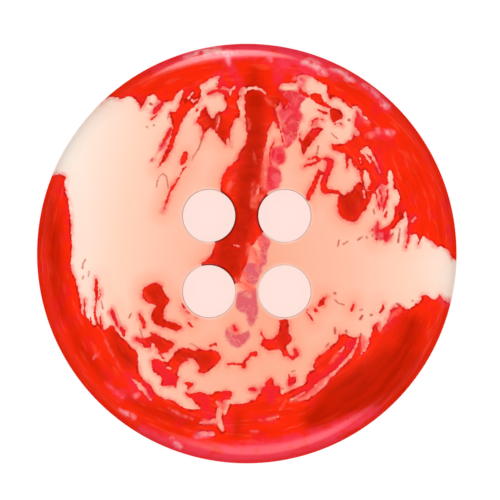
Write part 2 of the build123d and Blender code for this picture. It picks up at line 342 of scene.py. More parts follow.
# thin dull hairs sunk in the cream: strokes of (x, y, width)
hairs = [
    [(-4.58, 7.12, 0.16), (-4.5, 7.1, 0.1)],
    [(-3.69, 6.66, 0.06), (-3.78, 6.36, 0.06)],
    [(-3.92, 5.35, 0.05), (-4, 5.15, 0.05)],
    [
        (-2.14, 5.5, 0.1), (-2.18, 5.29, 0.07), (-2.27, 5.03, 0.06), (-2.4, 4.83, 0.05),
        (-2.55, 4.6, 0.05), (-2.6, 4.43, 0.04),
    ],
    [
        (-4.29, 3.18, 0.05), (-4.27, 3.4, 0.05), (-4.17, 3.66, 0.05), (-3.99, 3.8, 0.05),
        (-3.84, 3.69, 0.05), (-3.79, 3.51, 0.05), (-3.77, 3.29, 0.05), (-3.73, 3.1, 0.05),
    ],
    [(-4.75, 6.02, 0.08), (-4.73, 6, 0.06)],
    [(-4.43, 6.11, 0.07), (-4.41, 6.1, 0.06)],
    [(-1.45, 8.08, 0.1), (-1.43, 8.07, 0.1)],
    [(-0.32, 7.52, 0.08), (-0.3, 7.5, 0.08)],
    [(3.4, 5.1, 0.1), (3.33, 4.75, 0.08)],
    [(4.03, 5.73, 0.06), (4.17, 5.58, 0.06), (4.32, 5.46, 0.05)],
    [(4.86, 6.37, 0.14), (4.86, 6.35, 0.14)],
    [(4.47, 6.19, 0.1), (4.47, 6.17, 0.1)],
    [(-6.93, -2.25, 0.05), (-6.85, -2.62, 0.07)],
    [(-5.1, -3.58, 0.05), (-4.96, -3.95, 0.05)],
    [(-7.69, -0.29, 0.07), (-7.79, -0.47, 0.06), (-7.82, -0.7, 0.08)],
    [(-7.77, -1.07, 0.05), (-7.81, -1.21, 0.05)],
    [(-7.51, -0.84, 0.06), (-7.53, -1.07, 0.07)],
    [(-5.5, -2.86, 0.08), (-5.6, -3.06, 0.08)],
    [(-2.73, -4.25, 0.05), (-2.5, -4.36, 0.04), (-2.3, -4.5, 0.04)],
    [(2.12, -5.62, 0.06), (2.3, -5.57, 0.05)],
    [(1.66, -6.42, 0.06), (1.76, -6.44, 0.06)],
    [(4.17, -1.88, 0.1), (4.21, -1.9, 0.1)],
    [(4.17, -2.18, 0.05), (4.36, -2.36, 0.05), (4.62, -2.44, 0.06)],
    [(5.5, -2.95, 0.1), (5.4, -3.12, 0.12)],
    [(5.38, -2.7, 0.06), (5.5, -2.66, 0.06)],
    [(5.9, -2.92, 0.1), (5.94, -2.92, 0.1)],
    [(5.42, -3.8, 0.07), (5.44, -3.95, 0.07)],
    [(4.2, -3.55, 0.12), (4.2, -3.8, 0.1)],
    [(4.73, -3.66, 0.08), (4.73, -3.76, 0.08)],
    [(3.9, -4.25, 0.05), (3.75, -4.45, 0.06)],
    [(7.15, -2.38, 0.1), (7.3, -2.5, 0.12)],
    [(7.85, -2.24, 0.06), (7.92, -2.26, 0.06)],
    [(7.29, 1.21, 0.06), (7.25, 0.88, 0.08), (7.2, 0.55, 0.1)],
    [(6.97, 0.95, 0.08), (6.8, 0.75, 0.08), (6.65, 0.6, 0.1)],
    [(5.97, 0.9, 0.06), (5.97, 0.8, 0.08)],
    [(6.03, 2.1, 0.06), (6.07, 1.9, 0.06)],
    [(5.5, 0.8, 0.06), (5.3, 0.65, 0.1)],
    [(5.71, 0.8, 0.07), (5.71, 0.74, 0.07)],
    [(4.38, 0.62, 0.07), (4.33, 0.35, 0.06)],
    [(4.8, 0.58, 0.05), (4.6, 0.45, 0.07)],
    [(2.45, 7.95, 0.06), (2.6, 7.75, 0.08)],
    [(2.55, 8.32, 0.1), (2.68, 8.2, 0.08)],
    [(-0.95, -3.72, 0.06), (-0.85, -3.95, 0.1), (-0.7, -4.1, 0.08)],
]

# closed outlines where red lies under a thin skin of cream
veils = {
    "upper": [
        (1.4, 7.9), (1.75, 7.82), (2.1, 7.86), (2.4, 7.74), (2.65, 7.78), (2.95, 7.62), (2.8, 7.35),
        (2.55, 7.15), (2.5, 7), (2.62, 6.85), (2.72, 6.6), (2.55, 6.35), (2.5, 6), (2.4, 5.7), (2.3, 5.4),
        (1.88, 4.95), (1.78, 5.3), (1.7, 5.65), (1.6, 6), (1.58, 6.35), (1.45, 6.7), (1.3, 6.95),
        (1.35, 7.25), (1.4, 7.6),
    ],
    "lowerCap": [
        (1.2, 4.95), (1.42, 5.1), (1.65, 5.14), (1.8, 4.9), (1.85, 4.55), (1.72, 4.25), (1.45, 4.18),
        (1.25, 4.38), (1.12, 4.7),
    ],
    "lowerStrip": [
        (0.95, 4.1), (1.3, 4.18), (1.6, 4.02), (1.68, 3.6), (1.62, 3.3), (1.48, 2.95), (0.85, 2.9),
        (0.9, 3.4), (0.92, 3.8),
    ],
    "betweenHoles": [
        (0.62, 1.05), (0.95, 0.82), (1.2, 0.68), (1.12, 0.35), (0.98, 0.05), (0.98, -0.35), (0.95, -0.62),
        (0.6, -0.6), (0.5, -0.35), (0.62, -0.05), (0.6, 0.3), (0.5, 0.7),
    ],
    "underGap": [
        (-0.12, -0.5), (0.3, -0.42), (0.75, -0.55), (0.78, -0.8), (0.62, -1.05), (0.52, -1.45),
        (0.3, -1.5), (0.05, -1.3), (-0.12, -0.95),
    ],
    "stem": [
        (-0.55, -1.85), (-0.1, -1.75), (0.3, -1.6), (0.55, -1.75), (0.55, -2.2), (0.5, -2.8),
        (0.45, -3.35), (0.2, -3.45), (0.02, -3.25), (0, -2.8), (-0.2, -2.75), (-0.55, -2.7), (-0.5, -2.3),
    ],
    "smile": [
        (-1.05, -3.6), (-1, -3.95), (-0.85, -4.25), (-0.6, -4.45), (-0.3, -4.45), (-0.02, -4.25),
        (0.12, -3.95), (0.22, -3.6), (0.12, -3.5), (-0.1, -3.75), (-0.4, -3.8), (-0.7, -3.82),
        (-0.85, -3.65), (-0.85, -3.5),
    ],
    "rightFringe": [
        (6.05, 1.3), (6.1, 0.8), (6.25, 0.62), (6.6, 0.6), (6.8, 0.75), (6.9, 1), (6.7, 1.15), (6.4, 1.1),
        (6.2, 1.3),
    ],
    "flameSide": [
        (-3.62, 6), (-3.9, 5.6), (-4.1, 5.2), (-4.3, 4.85), (-4.5, 4.6), (-4.62, 4.35), (-4.5, 4.32),
        (-4.3, 4.55), (-4.05, 4.85), (-3.85, 5.1), (-3.7, 5.5), (-3.55, 5.85),
    ],
}

# pink washed over both colours, and painted reflection along the top and bottom rims: strokes of (x, y,
# width)
washesAndReflections = [
    [(1.55, 4.9, 0.3), (1.6, 4.6, 0.45), (1.55, 4.4, 0.3)],
    [(2, 7, 0.3), (2.3, 6.85, 0.4), (2.55, 6.5, 0.3)],
    [(-1, 9.5, 0.5), (-0.85, 9.1, 0.35), (-0.65, 8.6, 0.3), (-0.45, 8.2, 0.3), (-0.3, 7.85, 0.25)],
    [(-1.35, 8.45, 0.3), (-1.15, 8.1, 0.4), (-0.9, 7.75, 0.3)],
    [(-4.1, 7.15, 0.2), (-4.35, 6.85, 0.35)],
    [(-1.8, 7.6, 0.15), (-1.1, 7.75, 0.2)],
    # painted reflection along the top rim, round the sheen
    [
        (-4.4, 8.85, 0.2), (-3.2, 9.35, 0.5), (-1.6, 9.65, 0.8), (0.2, 9.75, 0.9), (1.6, 9.5, 1.1),
        (2.8, 9.15, 1.1), (3.9, 8.85, 0.7), (4.6, 8.5, 0.4),
    ],
    # painted reflection along the bottom rim, round the sheen
    [
        (-5, -8.4, 0.3), (-3.6, -9.1, 0.6), (-2, -9.5, 0.8), (0, -9.5, 1), (2, -9.25, 1), (4, -8.6, 0.9),
        (5.4, -7.9, 0.5), (6.2, -7.4, 0.2),
    ],
    [(1.5, 8.2, 0.3), (1.6, 8.8, 0.6), (2.2, 9.1, 0.6)],
    [(2.3, 8.75, 0.4), (2.8, 8.75, 0.5), (3, 8.55, 0.3)],
    [(3.9, 8.85, 0.3), (4.3, 8.55, 0.5), (4.1, 8.4, 0.3)],
    [(4.5, 8.7, 0.2), (5, 8.4, 0.3), (5.5, 8.1, 0.3), (6, 7.75, 0.35), (6.4, 7.3, 0.35), (6.7, 6.95, 0.3)],
    [(2.45, 8.5, 0.3), (2.7, 8.25, 0.35), (2.6, 8, 0.3), (2.6, 7.8, 0.3)],
    [(5.3, 6.85, 0.2), (5.3, 6.5, 0.45), (5.35, 6.2, 0.35)],
    [(5.2, 5.9, 0.2), (5.1, 5.7, 0.2)],
    [(5.85, 5.65, 0.3), (6.8, 5.7, 0.3)],
    [(1.3, 4.9, 0.2), (1.1, 4.4, 0.3), (1.1, 3.9, 0.3), (1.15, 3.4, 0.3)],
    [(6.25, 4.6, 0.2), (6.3, 3.8, 0.3), (6.4, 3.3, 0.3), (6.45, 2.8, 0.35), (6.4, 2.3, 0.3)],
    [(6.3, 1.3, 0.2), (6.6, 1, 0.35), (6.7, 0.75, 0.3)],
    [(7.85, 1.7, 0.3), (7.7, 1.4, 0.3), (7.62, 0.7, 0.2)],
    [(3.9, 4.5, 0.2), (3.7, 3.6, 0.2)],
    [(3.2, 6.1, 0.25), (3.35, 6.25, 0.15)],
    [(-5.3, -4.05, 0.2), (-4.9, -4.3, 0.3), (-4.65, -4.45, 0.2)],
    [(-6.45, -2.8, 0.2), (-6.2, -3.3, 0.25), (-5.95, -3.6, 0.3)],
    [(-4.3, -5.3, 0.4), (-3.9, -5.6, 0.5), (-3.7, -6.1, 0.5)],
    [(-5.6, -5.8, 0.3), (-5.35, -6.3, 0.35), (-5.3, -6.8, 0.35)],
    [(-4.9, -6.2, 0.2), (-4.6, -6.8, 0.3)],
    [(-6.55, -6.25, 0.12), (-6.25, -6.6, 0.2), (-5.95, -6.75, 0.35)],
    [(-2.7, -6.75, 0.25), (-2, -7, 0.3), (-1.8, -7.6, 0.5), (-1.9, -7.95, 0.3)],
    [(-2.3, -8.65, 0.3), (-1.8, -8.6, 0.3)],
    [(-0.9, -8.1, 0.3), (-0.75, -8.3, 0.2)],
    [(-1, -6.7, 0.2), (-1.1, -7.2, 0.3)],
    [(0.3, -6.5, 0.2), (0.9, -6.35, 0.3), (1.4, -6.5, 0.3), (1.1, -6.9, 0.3)],
    [(0.3, -7.9, 0.15), (0.7, -7.85, 0.2), (1.2, -7.85, 0.2)],
    [
        (2.5, -6.75, 0.3), (3, -6.5, 0.35), (3.5, -6.2, 0.35), (3.85, -5.7, 0.3), (4.4, -5.1, 0.3),
        (4.8, -4.6, 0.4), (5, -4.2, 0.4),
    ],
    [(2.2, -6, 0.25), (2.1, -6.25, 0.2)],
    [(2.1, -4.9, 0.2), (2.4, -4.75, 0.2)],
    [(5.6, -4.2, 0.3), (5.5, -4.6, 0.2)],
    [(6.3, -3.4, 0.25), (6.35, -3.65, 0.2)],
    [(6.6, -3.5, 0.25), (6.85, -3, 0.3), (7.1, -2.7, 0.35), (7.4, -2.75, 0.2)],
    [(9.3, -2.2, 0.2), (9.6, -2.3, 0.3)],
    [(-0.4, -3.9, 0.15), (-0.6, -3.55, 0.2)],
]

# pale pink threads and smudges, and painted sheen on the rim: strokes of (x, y, width)
wispsAndSheens = [
    # painted sheen on the top rim
    [(-3, 9.3, 0.12), (-2.4, 9.52, 0.32), (-1.7, 9.66, 0.38), (-1, 9.62, 0.3), (-0.5, 9.55, 0.1)],
    [(-0.95, 9.55, 0.24), (-0.9, 9.25, 0.2), (-0.82, 8.95, 0.05)],
    [(0.95, 9.4, 0.06), (1.12, 9.3, 0.14), (1.2, 9.15, 0.06)],
    [(2.65, 9.1, 0.2), (3, 9.12, 0.4), (3.3, 8.95, 0.4), (3.5, 8.7, 0.35), (3.75, 8.55, 0.2)],
    [(4, 8.78, 0.1), (4.35, 8.72, 0.2), (4.65, 8.5, 0.3), (4.9, 8.32, 0.3), (5.12, 8.2, 0.12)],
    [(5.5, 8.05, 0.08), (5.9, 7.85, 0.14), (6.25, 7.5, 0.14)],
    [(6.42, 7.25, 0.15), (6.52, 7.1, 0.3), (6.68, 7, 0.22)],
    [(5.72, 5.6, 0.15), (5.9, 5.62, 0.3), (6.15, 5.64, 0.24)],
    [(6.08, 5.88, 0.1), (6.25, 5.9, 0.18), (6.5, 5.82, 0.1)],
    [(6.65, 5.78, 0.26), (6.9, 5.74, 0.26)],
    [(0.15, 0.4, 0.3), (0.3, 0, 0.6), (0.4, -0.4, 0.5)],
    [(-0.12, -1, 0.3), (-0.4, -1.3, 0.35), (-0.05, -1.5, 0.5), (0.2, -1.75, 0.4)],
    [(0.58, 0.75, 0.12), (0.6, 0.5, 0.2), (0.72, 0.3, 0.1)],
    [(0.55, 3.25, 0.08), (0.42, 2.7, 0.18), (0.42, 2.1, 0.12)],
    [(0.78, 3, 0.06), (0.7, 2.5, 0.12)],
    [(0.3, 3.4, 0.06), (0.22, 2.8, 0.1)],
    [(5.5, 6.5, 0.12), (5.8, 6.25, 0.08)],
    [(2.3, 8.3, 0.2), (2.6, 8.1, 0.2)],
    [(-3.6, -8.8, 0.16), (-3.2, -9.2, 0.24)],
    # painted sheen on the rim, low on the left
    [(-6, -7.45, 0.16), (-5.4, -7.8, 0.22)],
    [(-5.3, -6.78, 0.2), (-5.2, -6.7, 0.2)],
    [(-3.7, -7.3, 0.08), (-3.2, -7.7, 0.1), (-2.6, -7.85, 0.06)],
    [(0.6, -7.92, 0.05), (1, -7.9, 0.1), (1.2, -7.85, 0.14), (1.45, -7.75, 0.08)],
    [(0.2, -8.5, 0.06), (0.6, -8.5, 0.08)],
    [(1.85, -7, 0.1), (1.6, -7.4, 0.06)],
    [(-6.8, -4, 0.06), (-6.3, -5, 0.08), (-5.9, -5.6, 0.06)],
    [(-6.6, -6.2, 0.06), (-6.1, -6.6, 0.1), (-5.9, -6.8, 0.18)],
    [(-7.3, -5, 0.05), (-7.15, -4.8, 0.06), (-6.95, -4.73, 0.05)],
    [(0.33, 4.95, 0.03), (0.38, 4.5, 0.05), (0.42, 4.1, 0.03)],
    [(0.08, 6.45, 0.06), (0.12, 6.15, 0.12), (0.1, 5.95, 0.1)],
    [(-0.9, 3.02, 0.12), (-0.82, 3.25, 0.2), (-0.7, 3.42, 0.18), (-0.6, 3.4, 0.06)],
    [
        (0.9, 7.4, 0.06), (1.1, 7.15, 0.08), (1.45, 6.98, 0.08), (1.5, 6.7, 0.08), (1.62, 6.3, 0.1),
        (1.85, 5.9, 0.08),
    ],
    [(0.9, 4.9, 0.2), (0.95, 4.4, 0.3), (0.85, 4, 0.3), (0.8, 3.5, 0.25), (0.82, 3, 0.2)],
    [(-1.35, 6.5, 0.08), (-1.45, 5.9, 0.06)],
    [(0.25, 2.75, 0.1), (0.25, 2.2, 0.1)],
    [(-2.1, -8, 0.16), (-1.4, -8, 0.2)],
    [(-2.35, -8.65, 0.25), (-1.65, -8.6, 0.2)],
    [(-1.4, -7.1, 0.2), (-1.1, -7.35, 0.2)],
    [(2.1, -7.05, 0.1), (2.6, -6.9, 0.14), (3.3, -6.5, 0.2), (3.8, -5.85, 0.15)],
    [(4, -5.2, 0.12), (4.4, -4.7, 0.16)],
    [(6.25, -3.25, 0.1), (6.35, -3.7, 0.08)],
    [(6.7, -3.55, 0.12), (6.9, -2.95, 0.2), (7.3, -2.7, 0.15)],
    [(5.55, -4, 0.15), (5.5, -4.6, 0.1)],
]

# painted shade: places where the red is painted darker: strokes of (x, y, width)
shadedReds = [
    [
        (0.35, 8.7, 0), (0.35, 8, 0.6), (0.35, 7.4, 0.9), (0.3, 6.2, 0.9), (0.35, 5, 0.9), (0.15, 3.8, 1),
        (0, 2.6, 0.9), (-0.1, 1.6, 0.8), (-0.6, 0.6, 1.2), (-0.9, -0.2, 1.2), (-0.5, -0.8, 0.6),
    ],
    [(-1.7, 6.6, 0.35), (-1.5, 6.1, 0.4), (-1.2, 5.7, 0.3)],
    [(-9.3, 2.4, 0.05), (-9.25, 1, 0.4), (-9.1, -0.6, 0.4), (-9, -1.8, 0.3), (-8.8, -3, 0.05)],
    [(-6.3, -3.8, 0.1), (-6, -4.6, 0.3), (-5.6, -5.1, 0.3)],
    [(-8.5, -3, -0.2), (-7.8, -4.6, 0.1), (-6.8, -5.9, -0.2)],
    [(-5.6, -6.9, -0.2), (-4.6, -7.45, 0.15), (-3.4, -7.85, 0.1), (-2.2, -8.15, -0.2)],
    [(-0.4, -7.8, -0.1), (-0.5, -8.5, 0)],
    [(3.2, -7.9, 0.8), (4.4, -7, 1.6), (5.6, -6.5, 2), (6.6, -5.7, 1.8), (7.4, -4.9, 1.2)],
    [(7.9, -3.4, 0.6), (7.6, -4.2, 0.8)],
    [(4.9, 2.6, 0.6), (4.95, 2, 0.5), (5.3, 2.8, 0.4)],
    [(-4.4, -1.9, 0.5), (-4.1, -2.6, 0.3), (-4.2, -3.2, 0.35), (-3.5, -3.5, 0.2)],
    [(-4.4, -4.1, 0.3), (-4, -4.3, 0.2)],
    [(-3.2, -4.75, 0.25), (-2.5, -4.9, 0.3), (-2, -5.1, 0.5)],
    [(1.75, -3.4, 0.3), (1.75, -4, 0.35)],
    [(4.3, 6.7, 0.2), (4.35, 6.5, 0.2)],
    [(2.75, 5.1, 0.15), (2.85, 5.4, 0.2)],
    [(1.4, 7.2, 0.25), (1.5, 6.7, 0.15)],
]


# How far a point lies inside the strokes and outlines above, in millimetres

farOff = 9.0  # a shape further away than this makes no difference
leastLength = 1e-9


def segmentGap(x, y, start, end):
    dx, dy = end[0] - start[0], end[1] - start[1]
    length = max(dx * dx + dy * dy, leastLength)
    along = np.clip(((x - start[0]) * dx + (y - start[1]) * dy) / length, 0, 1)
    return np.hypot(x - start[0] - along * dx, y - start[1] - along * dy), along


def strokeDepth(x, y, stroke):
    depth = np.full(x.shape, -farOff)
    for start, end in zip(stroke, stroke[1:]):
        gap, along = segmentGap(x, y, start, end)
        depth = np.maximum(depth, (start[2] + (end[2] - start[2]) * along) / 2 - gap)
    return depth


def outlineDepth(x, y, outline):
    inside = np.zeros(x.shape, bool)
    nearest = np.full(x.shape, farOff)
    for start, end in zip(outline, outline[1:] + outline[:1]):
        gap, along = segmentGap(x, y, start, end)
        nearest = np.minimum(nearest, gap)
        if start[1] != end[1]:
            crossing = start[0] + (end[0] - start[0]) * (y - start[1]) / (end[1] - start[1])
            inside ^= ((start[1] > y) != (end[1] > y)) & (x < crossing)
    return np.where(inside, nearest, -nearest)


# deepest of several shapes, each measured only where it can matter
def deepest(x, y, shapes, measure, reach=1.0):
    depth = np.full(x.shape, -reach)
    for shape in shapes:
        xs = [point[0] for point in shape]
        ys = [point[1] for point in shape]
        near = (x > min(xs) - reach) & (x < max(xs) + reach)
        near &= (y > min(ys) - reach) & (y < max(ys) + reach)
        depth[near] = np.maximum(depth[near], measure(x[near], y[near], shape))
    return depth


# cuts each corner of an outline once, so that the edge flows
def rounded(outline, share=0.22):
    softer = []
    for (ax, ay), (bx, by) in zip(outline, outline[1:] + outline[:1]):
        softer.append((ax + (bx - ax) * share, ay + (by - ay) * share))
        softer.append((bx - (bx - ax) * share, by - (by - ay) * share))
    return softer


# the cream strokes cut into the pools, and the red strokes lie over both
def redDepth(x, y):
    pools = [rounded(outline) for outline in redPools.values()]
    red = deepest(x, y, pools, outlineDepth)
    red = np.minimum(red, -deepest(x, y, creamStrokes, strokeDepth))
    return np.maximum(red, deepest(x, y, redStrokes, strokeDepth))


# Form of the button, as it was turned, drilled and tumbled

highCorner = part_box("button")[1]
threadHoles = [mount for mount in frame["record"]["mounts"] if mount["kind"] == "bore"]
holeCentres = [tuple(mount["pos_m"][:2]) for mount in threadHoles]

form = {
    "outerRadius": highCorner.x,
    "thickness": highCorner.z,
    "crownRise": 1.3 * mm,  # fall of the dome from its top to the full radius
    "rimRound": 1.2 * mm,
    "backRound": 0.6 * mm,
    "holeRadius": threadHoles[0]["dims"]["r_mm"] * mm,
    "mouthRound": 0.14 * mm,
    "sheetRows": 100,  # rows of cells across each sheet; its edge has four times as many points
    "cellShare": 0.85,  # rough size of a cell, as a share of the sheet's width over its rows
    "frontHalvings": 2,  # times that the cells are halved along the edges of the marbling
    "backHalvings": 1,
    "halvingReach": 0.62,  # a cell with a corner this near to an edge is halved, as a share of its size
    "rimRows": 10,
    "sideRows": 4,
    "backRows": 6,
    "mouthRows": 4,
    "wallCuts": 8,
}

# Sizes that follow: the front is a dome that runs tangentially into the rim round
domeRadius = (form["outerRadius"] ** 2 + form["crownRise"] ** 2) / (2 * form["crownRise"])
domeCentre = form["thickness"] - domeRadius
rimCentreR = form["outerRadius"] - form["rimRound"]
rimCentreZ = domeCentre + sqrt((domeRadius - form["rimRound"]) ** 2 - rimCentreR ** 2)
rimStart = asin(rimCentreR / (domeRadius - form["rimRound"]))  # slope where the rim round begins
domeEdge = domeRadius * sin(rimStart)
mouthRadius = form["holeRadius"] + form["mouthRound"]
cell = form["cellShare"] * 2 * domeEdge / form["sheetRows"]
snug = 0.002 * mm  # points closer than this are one point


def crownHeight(x, y):
    return domeCentre + np.sqrt(domeRadius ** 2 - x ** 2 - y ** 2)


# height of the front above any point of the button, over the dome or the rim round
def frontHeight(x, y):
    beyond = np.clip(np.hypot(x, y) - rimCentreR, 0, form["rimRound"])
    rim = rimCentreZ + np.sqrt(form["rimRound"] ** 2 - beyond ** 2)
    return np.where(np.hypot(x, y) < domeEdge, crownHeight(x, y), rim)


# The pour drifts as it goes down through the thickness, so the back has its own pattern: a turn
# in degrees, and a sway in millimetres, along waves in radians to the millimetre
pourDrift = {"turn": 16.0, "sway": 0.35, "waveX": 0.9, "waveStartX": 1.0, "waveY": 0.7}


# where on the front a point's colour comes from, in millimetres
def pourPoint(places):
    x, y, z = places.T
    down = np.clip((frontHeight(x, y) - z) / form["thickness"], 0, 1)
    turn = radians(pourDrift["turn"]) * down
    acrossX = (x * np.cos(turn) - y * np.sin(turn)) / mm
    acrossY = (x * np.sin(turn) + y * np.cos(turn)) / mm
    shiftX = pourDrift["sway"] * down * np.sin(acrossY * pourDrift["waveX"] + pourDrift["waveStartX"])
    shiftY = pourDrift["sway"] * down * np.sin(acrossX * pourDrift["waveY"])
    return acrossX + shiftX, acrossY + shiftY


# Modelling helpers

def startFresh():
    if bpy.context.object and bpy.context.object.mode == "EDIT":
        bpy.ops.object.mode_set(mode="OBJECT")
    bpy.ops.object.select_all(action="DESELECT")


# in edit mode, selects the faces or edges that pass a test and nothing else, and counts them
def pick(piece, kind, test):
    bpy.ops.mesh.select_mode(type="FACE" if kind == "faces" else "EDGE")
    bpy.ops.mesh.select_all(action="DESELECT")
    mesh = bmesh.from_edit_mesh(piece.data)
    picked = [part for part in getattr(mesh, kind) if test(part)]
    for part in picked:
        part.select_set(True)
    bmesh.update_edit_mesh(piece.data)
    return len(picked)


def reachFrom(centre, point):
    return hypot(point.x - centre[0], point.y - centre[1])


# selects the open edges of the piece that lie within a radius
def pickOpenEdges(piece, centre, radius):
    def isNearOpenEdge(edge):
        return edge.is_boundary and reachFrom(centre, edge.verts[0].co) < radius

    pick(piece, "edges", isNearOpenEdge)


# distance from the centre to the first end of a picked edge
def pickedReach(piece, centre):
    edge = next(edge for edge in bmesh.from_edit_mesh(piece.data).edges if edge.select)
    return reachFrom(centre, edge.verts[0].co)


# grows the picked ring into one ring after another; rows are (radius, height)
def growRings(centre, rows):
    for (radius, height), (nextRadius, nextHeight) in zip(rows, rows[1:]):
        bpy.ops.mesh.extrude_edges_move(TRANSFORM_OT_translate={"value": (0, 0, nextHeight - height)})
        share = nextRadius / radius
        bpy.ops.transform.resize(value=(share, share, 1), center_override=(*centre, 0))


# a flat round sheet of small cells that are nearly square
def roundSheet(radius, rows):
    startFresh()
    bpy.ops.mesh.primitive_circle_add(vertices=4 * rows, radius=radius, fill_type="NOTHING")
    sheet = bpy.context.object
    bpy.ops.object.mode_set(mode="EDIT")
    bpy.ops.mesh.select_all(action="SELECT")
    bpy.ops.mesh.fill_grid(span=rows, use_interp_simple=True)
    return sheet


# opens a round mouth in a flat sheet; side is 1 for a wall that goes down, -1 for one that goes up
def openMouth(sheet, centre, side):
    def isInMouth(face):
        return reachFrom(centre, face.calc_center_median()) < mouthRadius + cell / 2

    pick(sheet, "faces", isInMouth)
    bpy.ops.mesh.delete(type="FACE")
    pickOpenEdges(sheet, centre, mouthRadius + 2 * cell)
    pivot = (*centre, 0)
    bpy.ops.transform.tosphere(value=1, center_override=pivot)
    share = mouthRadius / pickedReach(sheet, centre)
    bpy.ops.transform.resize(value=(share, share, 1), center_override=pivot)
    rows = []
    for row in range(form["mouthRows"] + 1):
        angle = pi / 2 * row / form["mouthRows"]
        drop = form["mouthRound"] * (1 - cos(angle))
        rows.append((mouthRadius - form["mouthRound"] * sin(angle), -side * drop))
    growRings(centre, rows)


def openSheet(side):
    sheet = roundSheet(domeEdge, form["sheetRows"])
    for centre in holeCentres:
        openMouth(sheet, centre, side)
    return sheet


def vertexPlaces(piece):
    places = np.empty(len(piece.data.vertices) * 3, np.float32)
    piece.data.vertices.foreach_get("co", places)
    return places.reshape(-1, 3).astype(float)


# halves the cells where colours meet, but none at the sheet's rim or at a mouth; down is how
# far below the front the sheet lies in the pour
def refine(sheet, rounds, down):
    for halving in range(rounds):
        bpy.ops.object.mode_set(mode="OBJECT")
        places = vertexPlaces(sheet)
        places[:, 2] = frontHeight(places[:, 0], places[:, 1]) - down
        x, y = pourPoint(places)
        reach = form["halvingReach"] * cell / mm / 2 ** halving
        close = np.abs(redDepth(x, y)) < reach
        close |= deepest(x, y, hairs, strokeDepth) > -reach / 2
        free = np.hypot(places[:, 0], places[:, 1]) < domeEdge - snug
        for centre in holeCentres:
            free &= np.hypot(places[:, 0] - centre[0], places[:, 1] - centre[1]) > mouthRadius + snug
        close, free = close.tolist(), free.tolist()

        def isWhereColoursMeet(face):
            ends = [end.index for end in face.verts]
            return any(close[end] for end in ends) and all(free[end] for end in ends)

        bpy.ops.object.mode_set(mode="EDIT")
        pick(sheet, "faces", isWhereColoursMeet)
        bpy.ops.mesh.subdivide(number_cuts=1, quadcorner="INNERVERT", ngon=False)
    bpy.ops.object.mode_set(mode="OBJECT")


def buildFront():
    front = openSheet(1)
    refine(front, form["frontHalvings"], 0)
    places = vertexPlaces(front)
    places[:, 2] += crownHeight(places[:, 0], places[:, 1])
    front.data.vertices.foreach_set("co", places.ravel())
    print("front sheet:", len(front.data.polygons), "faces")
    return front


def buildBack():
    back = openSheet(-1)
    refine(back, form["backHalvings"], form["thickness"])
    print("back sheet:", len(back.data.polygons), "faces")
    return back


# one mesh of the front and the back, named as the piece
def joinSheets(front, back):
    startFresh()
    back.select_set(True)
    front.select_set(True)
    bpy.context.view_layer.objects.active = front
    bpy.ops.object.join()
    button = bpy.context.object
    button.name = "marbled_button"
    button.data.name = "marbled_button"
    return button


# rim round, straight side and back round, from the dome's edge down to the flat back
def sideRows():
    rows = []
    for row in range(form["rimRows"] + 1):
        angle = rimStart + (pi / 2 - rimStart) * row / form["rimRows"]
        outwards, upwards = form["rimRound"] * sin(angle), form["rimRound"] * cos(angle)
        rows.append((rimCentreR + outwards, rimCentreZ + upwards))
    for row in range(1, form["sideRows"] + 1):
        share = row / form["sideRows"]
        rows.append((form["outerRadius"], rimCentreZ + (form["backRound"] - rimCentreZ) * share))
    for row in range(1, form["backRows"] + 1):
        angle = pi / 2 * row / form["backRows"]
        inwards = form["backRound"] * (1 - cos(angle))
        rows.append((form["outerRadius"] - inwards, form["backRound"] * (1 - sin(angle))))
    rows.append((domeEdge, 0))
    return rows


def isFrontEdge(edge):
    end = edge.verts[0].co
    return edge.is_boundary and end.z > form["backRound"] and reachFrom((0, 0), end) > domeEdge - snug


def isOpen(edge):
    return not edge.is_manifold


def buildButton():
    button = joinSheets(buildFront(), buildBack())
    bpy.ops.object.mode_set(mode="EDIT")
    pick(button, "edges", isFrontEdge)
    growRings((0, 0), sideRows())
    for centre in holeCentres:  # the walls join the mouths in front to those behind
        pickOpenEdges(button, centre, form["holeRadius"] + snug)
        bpy.ops.mesh.bridge_edge_loops(number_cuts=form["wallCuts"], interpolation="LINEAR")
    bpy.ops.mesh.select_all(action="SELECT")
    bpy.ops.mesh.remove_doubles(threshold=snug)
    bpy.ops.mesh.normals_make_consistent(inside=False)
    openEdges = pick(button, "edges", isOpen)
    bpy.ops.object.mode_set(mode="OBJECT")
    bpy.ops.object.shade_smooth()
    triangles = sum(len(face.vertices) - 2 for face in button.data.polygons)
    print("button:", triangles, "triangles,", openEdges, "open edges")
    return button


# Line round the mouth of each hole, from 0 to 1: it carries painted shade on the red, painted light on the
# cream, and less gloss; sizes are in millimetres
mouthLine = {"reach": 0.11, "fade": 0.08, "downTheWall": 0.6}


def mouthShare(places):
    x, y, z = places.T
    gap = np.min([np.hypot(x - holeX, y - holeY) for holeX, holeY in holeCentres], axis=0)
    near = (mouthLine["reach"] - (gap - form["holeRadius"]) / mm) / mouthLine["fade"]
    high = 1 - (frontHeight(x, y) - z) / mm / mouthLine["downTheWall"]
    return np.clip(near, 0, 1) * np.clip(high, 0, 1)


# stores on each point how deep it lies in each kind of pour
def paintPour(button):
    places = vertexPlaces(button)
    x, y = pourPoint(places)
    layers = {
        "redPour": redDepth(x, y),
        "hairPour": deepest(x, y, hairs, strokeDepth),
        "veilPour": deepest(x, y, [rounded(outline) for outline in veils.values()], outlineDepth),
        "pinkWashAndReflection": deepest(x, y, washesAndReflections, strokeDepth),
        "wispAndSheenPour": deepest(x, y, wispsAndSheens, strokeDepth),
        "shadedRed": deepest(x, y, shadedReds, strokeDepth, reach=2.0),
        "mouthLine": mouthShare(places),
    }
    for name, depths in layers.items():
        layer = button.data.attributes.new(name, "FLOAT", "POINT")
        layer.data.foreach_set("value", depths.astype(np.float32))
    print("marbling stored on", len(x), "points")


